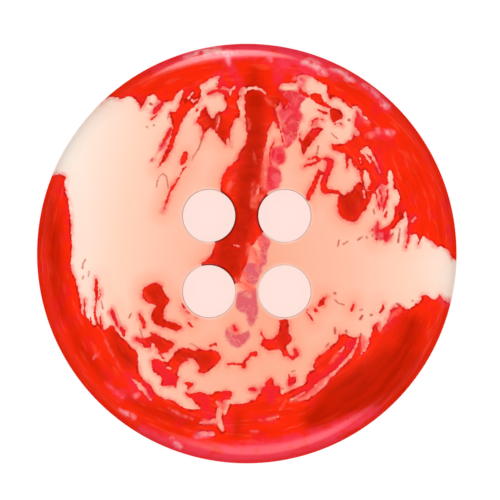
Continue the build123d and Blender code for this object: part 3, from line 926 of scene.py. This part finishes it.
# Resin: colours are display values from 0 to 255
resinLooks = {
    # cream: painted shade, darker and warmer in the middle and paler towards the rim
    "cream": {
        0.0: (250, 167, 137), 0.24: (251, 183, 156), 0.41: (252, 190, 165), 0.51: (253, 197, 173),
        0.68: (254, 210, 186), 0.81: (254, 222, 204), 0.98: (254, 239, 227),
    },
    "brightRed": (255, 41, 8),
    # painted shade: the red where it lies in shade
    "shadedRed": (190, 25, 1),
    "crimson": (238, 22, 44),
    "streak": (255, 88, 62),
    "wispInside": (253, 104, 86),
    # wisps at the rim, paler and pinker as painted sheen
    "wispAndSheenAtRim": (255, 150, 160),
    "wispCore": (255, 206, 192),
    "washInside": (240, 28, 52),
    # washes at the rim, pinker as painted reflection
    "washAndReflectionAtRim": (250, 58, 84),
    "rind": (226, 22, 34),
    "outline": (140, 10, 6),
    "halo": (250, 108, 98),
    "blush": (254, 162, 130),
    "hair": (206, 70, 58),
    "veilDark": (232, 38, 56),
    "veilPale": (246, 84, 98),
    "veilMauve": (222, 92, 106),
    "veilThin": (252, 138, 124),
    # painted shade round the mouths on the red, and painted light on the cream
    "mouthShadeOnRed": (104, 5, 4),
    "mouthLightOnCream": (255, 216, 200),
}

# Oval of painted shade in the cream, darker and warmer in its middle: the colours above go from its middle
# to its reach, in millimetres
creamShading = {"middle": (0.7, -2.0), "squeeze": 0.5, "reach": 10.0}

# Noise drawn out along the swirl: cells in a turn, and in a millimetre outwards or down the side
swirlCells = {"around": 3.0, "outwards": 1.6}

# Tumbled polish: a slow swell, and a very fine haze in the gloss
polish = {
    "swellScale": 0.8,
    "swellStrength": 0.15,
    "swellDepth": 0.02 * mm,
    "hazeScale": 6.0,
    "hazeDetail": 5.0,
    "hazeLevels": (0.3, 0.7),  # of the noise, for the roughness at each end
    "roughness": (0.05, 0.09),
}

# Edges of the pours, in millimetres; Scale is how fine the raggedness is
pourEdges = {
    "redPour": {"Ragged": 0.22, "Scale": 5.5, "Softness": 0.02},
    "hairPour": {"Ragged": 0.08, "Scale": 5.0, "Softness": 0.05},
    "veilPour": {"Ragged": 0.4, "Scale": 2.0, "Softness": 0.08},
    "pinkWashAndReflection": {"Ragged": 0.5, "Scale": 1.8, "Softness": 0.25},
    "wispAndSheenPour": {"Ragged": 0.2, "Scale": 3.0, "Softness": 0.1},
}
edgeNoise = {"Detail": 3.0, "Roughness": 0.6}

# Patches of noise in the colour; Cover is the share of the surface that they take up
patchLooks = {
    "hairBreaks": {"Scale": 3.0, "Cover": 0.85, "Softness": 0.1},
    "haloBreaks": {"Scale": 1.7, "Cover": 0.55, "Softness": 0.2},
    "veilDepths": {"Scale": 1.2, "Cover": 0.5, "Softness": 0.1, "Curl": 1.5},
    "veilBody": {"Scale": 1.4, "Cover": 0.92, "Softness": 0.12, "Strength": 0.95, "Curl": 1.0},
    "veilLines": {"Scale": 0.9, "Cover": 0.45, "Softness": 0.03, "Strength": 0.5, "Curl": 1.0},
    "redDepths": {"Scale": 1.6, "Cover": 0.4, "Softness": 0.14, "Strength": 0.2},
    "crimson": {"Scale": 1.1, "Cover": 0.32, "Softness": 0.08, "Strength": 0.5},
    "streaks": {"Scale": 2.8, "Cover": 0.3, "Softness": 0.07, "Strength": 0.34},
    "outlineBreaks": {"Scale": 2.4, "Cover": 0.45, "Softness": 0.06, "Strength": 0.6},
    "washBody": {"Scale": 2.0, "Cover": 0.68, "Softness": 0.14, "Strength": 0.85},
    "wispBody": {"Scale": 3.0, "Cover": 0.66, "Softness": 0.14, "Strength": 0.75},
}
patchNoise = {"Detail": 2.0, "Roughness": 0.5}
coverLevels = (0.72, 0.28)  # level of the noise that a patch begins at, from no cover to full cover

# Smooth changes: between which two inputs, then the output at each; inputs are depths inside a
# pour, radii and places up the face in millimetres, or shares from 0 to 1
fades = {
    "blush": (-0.95, 0.0, 0.0, 0.6),
    "blushInward": (5.5, 7.5, 1.0, 0.2),
    "halo": (-0.24, 0.0, 0.0, 0.72),
    "mauveDownwards": (1.5, -0.8, 0.0, 0.85),
    # painted shade: how much darker the red is in the listed shaded places
    "shadeOnRed": (-0.6, 0.35, 0.0, 0.75),
    "thickInside": (0.08, 0.6, 0.0, 0.08),
    "rind": (0.14, 0.0, 0.0, 0.65),
    "outlineStart": (0.02, 0.06),
    "outlineEnd": (0.13, 0.07),
    "wispCore": (0.05, 0.16, 0.0, 0.8),
    "rimwards": (7.8, 9.2),
    "glossGrazing": (0.45, 0.72, 0.5, 0.0),
    "glossAtMouths": (0.0, 1.0, 1.0, 0.1),
}


# display values from 0 to 255 as linear light
def colour(display):
    parts = [part / 255 for part in display]
    return (*[((part + 0.055) / 1.055) ** 2.4 if part > 0.04 else part / 12.92 for part in parts], 1.0)


shades = {name: colour(display) for name, display in resinLooks.items() if name != "cream"}


# Node helpers

# adds a node; inputs are named by their socket, or by i and its number
def addNode(tree, kind, settings=None, **inputs):
    made = tree.nodes.new(kind)
    for name, value in (settings or {}).items():
        setattr(made, name, value)
    for name, value in inputs.items():
        isNumbered = name[0] == "i" and name[1:].isdigit()
        socket = made.inputs[int(name[1:])] if isNumbered else made.inputs[name]
        if isinstance(value, bpy.types.NodeSocket):
            tree.links.new(value, socket)
        else:
            socket.default_value = value
    return made


def mixColours(tree, share, first, second):
    return addNode(tree, "ShaderNodeMix", {"data_type": "RGBA"}, i0=share, i6=first, i7=second).outputs[2]


def calculate(tree, operation, first, second, clamp=False):
    settings = {"operation": operation, "use_clamp": clamp}
    return addNode(tree, "ShaderNodeMath", settings, i0=first, i1=second).outputs[0]


# result of a vector operation; lengths and dot products are plain numbers
def vectorMath(tree, operation, **inputs):
    outputs = addNode(tree, "ShaderNodeVectorMath", {"operation": operation}, **inputs).outputs
    return outputs["Value"] if operation in ("LENGTH", "DOT_PRODUCT") else outputs["Vector"]


# goes smoothly from one value to another as the input goes from low to high
def spread(tree, value, low, high, toLow=0.0, toHigh=1.0):
    settings = {"interpolation_type": "SMOOTHSTEP"}
    inputs = {"i0": value, "i1": low, "i2": high, "i3": toLow, "i4": toHigh}
    return addNode(tree, "ShaderNodeMapRange", settings, **inputs).outputs[0]


def newMaterial(name):
    material = bpy.data.materials.new(name)
    material.use_nodes = True
    material.node_tree.nodes.clear()
    return material, material.node_tree


# Node groups

def newGroup(name, inputs, outputs):
    group = bpy.data.node_groups.new(name, "ShaderNodeTree")
    for label, value in inputs.items():
        kind = "NodeSocketVector" if value is None else "NodeSocketFloat"
        socket = group.interface.new_socket(name=label, in_out="INPUT", socket_type=kind)
        if value is not None:
            socket.default_value = value
    for label in outputs:
        group.interface.new_socket(name=label, in_out="OUTPUT", socket_type="NodeSocketFloat")
    return group, addNode(group, "NodeGroupInput").outputs


# edge of a pour: a ragged mask from a stored depth
def pourEdgeGroup():
    inputs = {"Vector": None, "Depth": 0.0, "Ragged": 0.3, "Scale": 4.0, "Softness": 0.02}
    group, given = newGroup("pourEdge", inputs, ["Mask", "Depth"])
    noiseInputs = {"Vector": given["Vector"], "Scale": given["Scale"], **edgeNoise}
    noise = addNode(group, "ShaderNodeTexNoise", **noiseInputs).outputs[0]
    offset = calculate(group, "MULTIPLY", calculate(group, "SUBTRACT", noise, 0.5), given["Ragged"])
    depth = calculate(group, "ADD", given["Depth"], offset)
    mask = spread(group, depth, calculate(group, "MULTIPLY", given["Softness"], -1.0), given["Softness"])
    addNode(group, "NodeGroupOutput", Mask=mask, Depth=depth)
    return group


# patches of noise between 0 and 1, and lines along their edges
def patchesGroup():
    inputs = {"Vector": None, "Scale": 1.0, "Cover": 0.5, "Softness": 0.08, "Strength": 1.0, "Curl": 0.0}
    group, given = newGroup("patches", inputs, ["Mask", "Line"])
    noiseInputs = {"Vector": given["Vector"], "Scale": given["Scale"], "Distortion": given["Curl"]}
    noise = addNode(group, "ShaderNodeTexNoise", **noiseInputs, **patchNoise).outputs[0]
    over = calculate(group, "SUBTRACT", noise, spread(group, given["Cover"], 0.0, 1.0, *coverLevels))
    mask = spread(group, over, calculate(group, "MULTIPLY", given["Softness"], -1.0), given["Softness"])
    line = spread(group, calculate(group, "ABSOLUTE", over, 0.0), given["Softness"], 0.0)
    addNode(group, "NodeGroupOutput", Mask=calculate(group, "MULTIPLY", mask, given["Strength"]),
            Line=calculate(group, "MULTIPLY", line, given["Strength"]))
    return group


pourEdgeNodes = pourEdgeGroup()
patchNodes = patchesGroup()


# Parts of the resin

def storedDepth(tree, name):
    return addNode(tree, "ShaderNodeAttribute", {"attribute_name": name}).outputs["Fac"]


def pourEdge(tree, name, place):
    inputs = {"Vector": place, "Depth": storedDepth(tree, name), **pourEdges[name]}
    return addNode(tree, "ShaderNodeGroup", {"node_tree": pourEdgeNodes}, **inputs).outputs


def patch(tree, name, place, output="Mask"):
    inputs = {"Vector": place, **patchLooks[name]}
    return addNode(tree, "ShaderNodeGroup", {"node_tree": patchNodes}, **inputs).outputs[output]


def fade(tree, name, value):
    return spread(tree, value, *fades[name])


# lays a shade over the one below, as strongly as its shares multiplied together
def layOver(tree, below, shade, *shares):
    strength = shares[0]
    for share in shares[1:]:
        strength = calculate(tree, "MULTIPLY", strength, share)
    return mixColours(tree, strength, below, shades[shade] if isinstance(shade, str) else shade)


# cream with painted shade: darker and warmer in the middle of the button and paler outwards
def shadedCream(tree, place):
    (x, y), squeeze = creamShading["middle"], creamShading["squeeze"]
    centred = vectorMath(tree, "SUBTRACT", i0=place, i1=(x, y, 0))
    away = vectorMath(tree, "LENGTH", i0=vectorMath(tree, "MULTIPLY", i0=centred, i1=(1, squeeze, 0)))
    ramp = addNode(tree, "ShaderNodeValToRGB", Fac=calculate(tree, "DIVIDE", away, creamShading["reach"]))
    stops = ramp.color_ramp.elements
    while len(stops) > 1:
        stops.remove(stops[0])
    for number, (where, display) in enumerate(resinLooks["cream"].items()):
        stop = stops[0] if number == 0 else stops.new(where)
        stop.position = where
        stop.color = colour(display)
    return ramp.outputs[0]


# coordinates in which a noise is drawn out along the swirl of the pour, and the radius
def swirlPlace(tree, place):
    flat = vectorMath(tree, "MULTIPLY", i0=place, i1=(1, 1, 0))
    around = vectorMath(tree, "NORMALIZE", i0=flat)
    radius = vectorMath(tree, "LENGTH", i0=flat)
    height = addNode(tree, "ShaderNodeSeparateXYZ", Vector=place).outputs["Z"]
    outwards = calculate(tree, "SUBTRACT", radius, height)
    lift = calculate(tree, "MULTIPLY", outwards, swirlCells["outwards"])
    lift = addNode(tree, "ShaderNodeCombineXYZ", Z=lift).outputs[0]
    cells = (swirlCells["around"], swirlCells["around"], 0)
    return vectorMath(tree, "MULTIPLY_ADD", i0=around, i1=cells, i2=lift), radius


# cream side: blush and halo by the red, hairs and veils sunk in it
def creamSide(tree, place, radius, red, hair, veil):
    blush = [fade(tree, "blush", red["Depth"]), fade(tree, "blushInward", radius)]
    shade = layOver(tree, shadedCream(tree, place), "blush", *blush)
    shade = layOver(tree, shade, "halo", fade(tree, "halo", red["Depth"]), patch(tree, "haloBreaks", place))
    shade = layOver(tree, shade, "hair", hair["Mask"], patch(tree, "hairBreaks", place))
    veilShade = mixColours(tree, patch(tree, "veilDepths", place), shades["veilDark"], shades["veilPale"])
    upwards = addNode(tree, "ShaderNodeSeparateXYZ", Vector=place).outputs["Y"]
    veilShade = layOver(tree, veilShade, "veilMauve", fade(tree, "mauveDownwards", upwards))
    veilShade = layOver(tree, veilShade, "veilThin", patch(tree, "veilLines", place, "Line"))
    return layOver(tree, shade, veilShade, veil["Mask"], patch(tree, "veilBody", place))


# red side: painted shade that makes the red darker in the listed shaded places, a little darker inside the
# pools and in random patches, with crimson patches and pale streaks along the swirl
def redSide(tree, place, swirl, red):
    shadeOnRed = fade(tree, "shadeOnRed", storedDepth(tree, "shadedRed"))
    redShadeAndTone = calculate(tree, "ADD", shadeOnRed, fade(tree, "thickInside", red["Depth"]))
    redShadeAndTone = calculate(tree, "ADD", redShadeAndTone, patch(tree, "redDepths", swirl), clamp=True)
    lessRedShadeAndTone = calculate(tree, "SUBTRACT", 1.0, redShadeAndTone)
    shade = mixColours(tree, redShadeAndTone, shades["brightRed"], shades["shadedRed"])
    shade = layOver(tree, shade, "crimson", lessRedShadeAndTone, patch(tree, "crimson", place))
    shade = layOver(tree, shade, "streak", lessRedShadeAndTone, patch(tree, "streaks", swirl))
    shade = layOver(tree, shade, "rind", fade(tree, "rind", red["Depth"]))
    line = [fade(tree, "outlineStart", red["Depth"]), fade(tree, "outlineEnd", red["Depth"])]
    return layOver(tree, shade, "outline", *line, patch(tree, "outlineBreaks", place))


# pink washes and pale wisps, which lie over both colours; towards the rim their colours hold painted sheen
# and reflection
def washesWispsAndSheens(tree, below, place, radius, washAndReflection, wispAndSheen):
    rimwards = fade(tree, "rimwards", radius)
    washAndReflectionShade = mixColours(tree, rimwards, shades["washInside"], shades["washAndReflectionAtRim"])
    shade = layOver(tree, below, washAndReflectionShade, washAndReflection["Mask"], patch(tree, "washBody", place))
    wispAndSheenShade = mixColours(tree, rimwards, shades["wispInside"], shades["wispAndSheenAtRim"])
    wispAndSheenShade = layOver(tree, wispAndSheenShade, "wispCore", rimwards, fade(tree, "wispCore", wispAndSheen["Depth"]))
    return layOver(tree, shade, wispAndSheenShade, wispAndSheen["Mask"], patch(tree, "wispBody", place))


# roughness, swell and gloss of the polish, by the sockets that they feed
def polishInputs(tree, place):
    swell = addNode(tree, "ShaderNodeTexNoise", Vector=place, Scale=polish["swellScale"]).outputs[0]
    bumpInputs = {"Strength": polish["swellStrength"], "Distance": polish["swellDepth"], "Height": swell}
    hazeInputs = {"Vector": place, "Scale": polish["hazeScale"], "Detail": polish["hazeDetail"]}
    haze = addNode(tree, "ShaderNodeTexNoise", **hazeInputs).outputs[0]
    turnedAway = addNode(tree, "ShaderNodeLayerWeight").outputs["Facing"]
    atMouths = fade(tree, "glossAtMouths", storedDepth(tree, "mouthLine"))
    return {
        "Roughness": spread(tree, haze, *polish["hazeLevels"], *polish["roughness"]),
        "Normal": addNode(tree, "ShaderNodeBump", **bumpInputs).outputs[0],
        "Specular IOR Level": calculate(tree, "MULTIPLY", fade(tree, "glossGrazing", turnedAway), atMouths),
    }


def resinMaterial():
    material, tree = newMaterial("marbledResin")
    place = addNode(tree, "ShaderNodeTexCoord").outputs["Object"]
    place = vectorMath(tree, "SCALE", i0=place, Scale=1 / mm)
    swirl, radius = swirlPlace(tree, place)
    red, hair, veil, washAndReflection, wispAndSheen = [pourEdge(tree, name, place) for name in pourEdges]
    base = creamSide(tree, place, radius, red, hair, veil)
    base = layOver(tree, base, redSide(tree, place, swirl, red), red["Mask"])
    base = washesWispsAndSheens(tree, base, place, radius, washAndReflection, wispAndSheen)
    # painted shade at the mouths on the red, painted light on the cream
    mouthShade = mixColours(tree, red["Mask"], shades["mouthLightOnCream"], shades["mouthShadeOnRed"])
    base = layOver(tree, base, mouthShade, storedDepth(tree, "mouthLine"))
    surface = {"Base Color": base, **polishInputs(tree, place)}
    shader = addNode(tree, "ShaderNodeBsdfPrincipled", **surface).outputs[0]
    addNode(tree, "ShaderNodeOutputMaterial", Surface=shader)
    print("resin:", len(tree.nodes), "nodes")
    return material


# Studio: a white sheet that stays white, a white surround, and one soft box overhead
studio = {
    "sheetSize": 2.0,
    "sheetPaper": 0.9,  # share of light that the sheet throws back
    "sheetGlow": 1.1,  # light of its own where it is looked at, mixed in by the two shares below
    "glowShare": 0.8,
    # painted light: under the button the sheet glows more, which hides the shade inside the holes
    "glowShareUnder": 0.9,  # under the button, seen only through its holes
    "tintUnder": (248, 222, 215),  # light that comes down through the resin
    "underEnds": (0.6, 0.9),  # shares of the button's radius between which it ends
    "ambient": 0.6,
    "surround": 0.15,  # dim light low down, seen only in the polish
    "surroundRise": (55, 85),  # degrees from the zenith
    "surroundFall": (95, 120),
}


# unit vector towards an azimuth and a distance from the zenith, in degrees
def direction(azimuth, fromZenith):
    azimuth, tilt = radians(azimuth), radians(fromZenith)
    return sin(tilt) * cos(azimuth), sin(tilt) * sin(azimuth), cos(tilt)


# 1 for camera, glossy and transmission rays, and 0 for the light that falls on things
def isSeen(tree):
    path = addNode(tree, "ShaderNodeLightPath").outputs
    either = calculate(tree, "MAXIMUM", path["Is Camera Ray"], path["Is Glossy Ray"])
    return calculate(tree, "MAXIMUM", either, path["Is Transmission Ray"])


def whiteSheet():
    material, tree = newMaterial("whiteSheet")
    away = vectorMath(tree, "LENGTH", i0=addNode(tree, "ShaderNodeTexCoord").outputs["Object"])
    underEnds = [share * form["outerRadius"] for share in studio["underEnds"]]
    beyond = spread(tree, away, *underEnds)
    glowShare = spread(tree, beyond, 0.0, 1.0, studio["glowShareUnder"], studio["glowShare"])
    glowShade = mixColours(tree, beyond, colour(studio["tintUnder"]), (1, 1, 1, 1))
    paperShade = (*[studio["sheetPaper"]] * 3, 1)
    paper = addNode(tree, "ShaderNodeBsdfDiffuse", Color=paperShade).outputs[0]
    glow = addNode(tree, "ShaderNodeEmission", Color=glowShade, Strength=studio["sheetGlow"]).outputs[0]
    share = calculate(tree, "MULTIPLY", isSeen(tree), glowShare)
    mixed = addNode(tree, "ShaderNodeMixShader", i0=share, i1=paper, i2=glow).outputs[0]
    addNode(tree, "ShaderNodeOutputMaterial", Surface=mixed)
    return material


def buildFloor():
    startFresh()
    bpy.ops.mesh.primitive_plane_add(size=studio["sheetSize"])
    floor = bpy.context.object
    floor.name = "floor"
    floor.data.materials.append(whiteSheet())
    floor.visible_glossy = False


# Soft glows that show only in the polish: directions and widths are in degrees
glows = {
    "far": {"azimuth": 97, "fromZenith": 80, "core": 6, "fade": 24, "radiance": 7.6},
    "farAbove": {"azimuth": 99, "fromZenith": 62, "core": 2, "fade": 16, "radiance": 1.8},
    "near": {"azimuth": -83, "fromZenith": 60, "core": 8, "fade": 30, "radiance": 2.5},
    "nearSide": {"azimuth": -66, "fromZenith": 58, "core": 2, "fade": 20, "radiance": 0.7},
}


# what the polish reflects low down: a dim band and the soft glows; the camera sees plain white
def surroundLight(tree):
    towards = addNode(tree, "ShaderNodeTexCoord").outputs["Generated"]
    height = addNode(tree, "ShaderNodeSeparateXYZ", Vector=towards).outputs["Z"]
    rise, fall = [[cos(radians(edge)) for edge in studio[name]] for name in ("surroundRise", "surroundFall")]
    band = calculate(tree, "MINIMUM", spread(tree, height, *rise), spread(tree, height, fall[1], fall[0]))
    light = calculate(tree, "MULTIPLY", band, studio["surround"])
    seenWhite = addNode(tree, "ShaderNodeLightPath").outputs["Is Camera Ray"]
    light = calculate(tree, "MAXIMUM", light, seenWhite)
    for glow in glows.values():
        middle = direction(glow["azimuth"], glow["fromZenith"])
        nearness = vectorMath(tree, "DOT_PRODUCT", i0=towards, i1=middle)
        low, high = cos(radians(glow["fade"])), cos(radians(glow["core"]))
        light = calculate(tree, "ADD", light, spread(tree, nearness, low, high, 0.0, glow["radiance"]))
    return light


def buildWorld():
    world = bpy.data.worlds.new("studio")
    bpy.context.scene.world = world
    world.use_nodes = True
    tree = world.node_tree
    tree.nodes.clear()
    ambient = addNode(tree, "ShaderNodeBackground", Strength=studio["ambient"]).outputs[0]
    shown = addNode(tree, "ShaderNodeBackground", Strength=surroundLight(tree)).outputs[0]
    mixed = addNode(tree, "ShaderNodeMixShader", i0=isSeen(tree), i1=ambient, i2=shown).outputs[0]
    addNode(tree, "ShaderNodeOutputWorld", Surface=mixed)


# Soft box that lights the button, but is not itself seen in the polish
overheadLamp = {"distance": 0.5, "size": 0.38, "radiance": 3.75}


def buildLamp():
    data = bpy.data.lights.new("overhead", "AREA")
    data.size = overheadLamp["size"]
    data.energy = overheadLamp["radiance"] * pi * data.size ** 2
    lamp = bpy.data.objects.new("overhead", data)
    bpy.context.scene.collection.objects.link(lamp)
    lamp.location.z = overheadLamp["distance"]
    lamp.visible_camera = False
    lamp.visible_glossy = False


# Camera straight above, and far enough away that the walls of the holes hardly show
view = {
    "distance": 1.0,
    "frameWidth": 23.862 * mm,
    "aim": (0.153 * mm, 0.170 * mm),
    "sensorWidth": 36.0,
    "nearest": 0.01,
    "furthest": 10.0,
}


def buildCamera():
    data = bpy.data.cameras.new("camera")
    data.sensor_width = view["sensorWidth"]
    data.lens = data.sensor_width * view["distance"] / view["frameWidth"]
    data.clip_start, data.clip_end = view["nearest"], view["furthest"]
    camera = bpy.data.objects.new("camera", data)
    camera.location = (*view["aim"], view["distance"])
    bpy.context.scene.collection.objects.link(camera)
    bpy.context.scene.camera = camera


buildCamera()
buildWorld()
buildFloor()
buildLamp()
print("studio ready")

button = buildButton()
paintPour(button)
button.data.materials.append(resinMaterial())
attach(button, "root")
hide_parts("button")

bpy.context.scene.view_settings.view_transform = "Standard"
